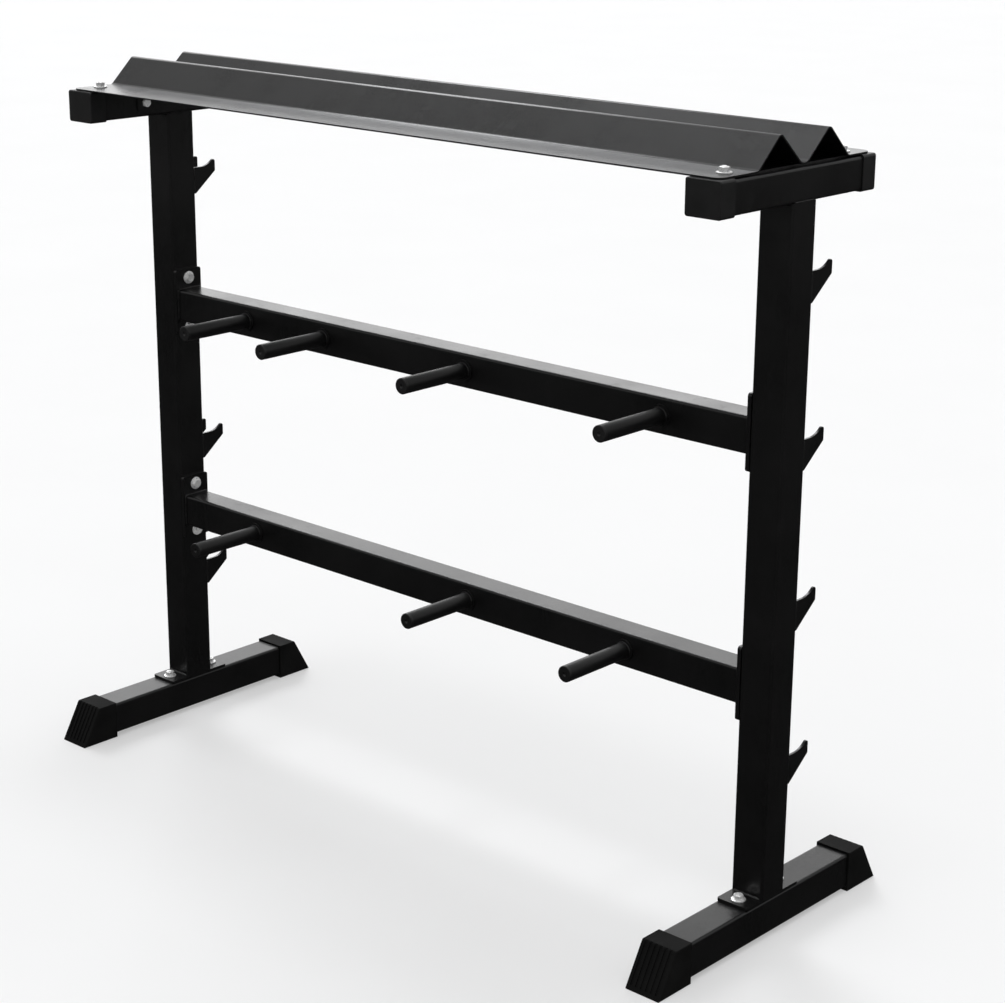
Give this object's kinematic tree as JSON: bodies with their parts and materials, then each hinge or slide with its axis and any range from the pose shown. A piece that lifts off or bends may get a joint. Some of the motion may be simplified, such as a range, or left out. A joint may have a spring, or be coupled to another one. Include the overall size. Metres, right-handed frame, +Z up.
{
  "type": "dumbbell rack",
  "caption": "Free-standing storage rack: a ridged sheet tray on top for dumbbells, crossbeams with forward pegs for weight plates, and hooks for bars on the backs of the posts.",
  "frame": {"origin": "on the floor, midway between the posts and midway between the front and rear shoes", "axes": "+X to the user's right when facing the pegs, +Y to the back where the bar hooks are, +Z up"},
  "size_m": [1.718, 0.682, 1.5034],
  "materials": {
    "black_powder_coat": "satin black powder coat",
    "matt_peg_coat": "matt black coat",
    "shoe_rubber": "matt black rubber",
    "cap_plastic": "matt black plastic",
    "zinc_steel": "bright zinc plate"
  },
  "bodies": {
    "root": {"base_bolts": "zinc_steel", "base_nuts": "zinc_steel", "base_washers": "zinc_steel", "beam_bolts": "zinc_steel", "beam_washers": "zinc_steel", "bracket_bolts": "zinc_steel", "dumbbell_tray": "black_powder_coat", "left_bar_hook_1": "black_powder_coat", "left_bar_hook_2": "black_powder_coat", "left_bar_hook_3": "black_powder_coat", "left_bar_hook_4": "black_powder_coat", "left_base_plate": "black_powder_coat", "left_foot_tube": "black_powder_coat", "left_front_arm_cap": "cap_plastic", "left_front_shoe": "shoe_rubber", "left_rear_arm_cap": "cap_plastic", "left_rear_shoe": "shoe_rubber", "left_top_arm": "black_powder_coat", "left_tray_bracket": "black_powder_coat", "left_upright_post": "black_powder_coat", "lower_crossbeam": "black_powder_coat", "lower_left_end_plate": "black_powder_coat", "lower_peg_1": "matt_peg_coat", "lower_peg_2": "matt_peg_coat", "lower_peg_3": "matt_peg_coat", "lower_peg_cap_1": "cap_plastic", "lower_peg_cap_2": "cap_plastic", "lower_peg_cap_3": "cap_plastic", "lower_peg_flanges": "black_powder_coat", "lower_right_end_plate": "black_powder_coat", "right_bar_hook_1": "black_powder_coat", "right_bar_hook_2": "black_powder_coat", "right_bar_hook_3": "black_powder_coat", "right_bar_hook_4": "black_powder_coat", "right_base_plate": "black_powder_coat", "right_foot_tube": "black_powder_coat", "right_front_arm_cap": "cap_plastic", "right_front_shoe": "shoe_rubber", "right_rear_arm_cap": "cap_plastic", "right_rear_shoe": "shoe_rubber", "right_top_arm": "black_powder_coat", "right_tray_bracket": "black_powder_coat", "right_upright_post": "black_powder_coat", "tray_bolts": "zinc_steel", "tray_nuts": "zinc_steel", "tray_washers": "zinc_steel", "upper_crossbeam": "black_powder_coat", "upper_left_end_plate": "black_powder_coat", "upper_peg_1": "matt_peg_coat", "upper_peg_2": "matt_peg_coat", "upper_peg_3": "matt_peg_coat", "upper_peg_4": "matt_peg_coat", "upper_peg_cap_1": "cap_plastic", "upper_peg_cap_2": "cap_plastic", "upper_peg_cap_3": "cap_plastic", "upper_peg_cap_4": "cap_plastic", "upper_peg_flanges": "black_powder_coat", "upper_right_end_plate": "black_powder_coat", "weld_nuts": "zinc_steel"}
  },
  "joints": []
}
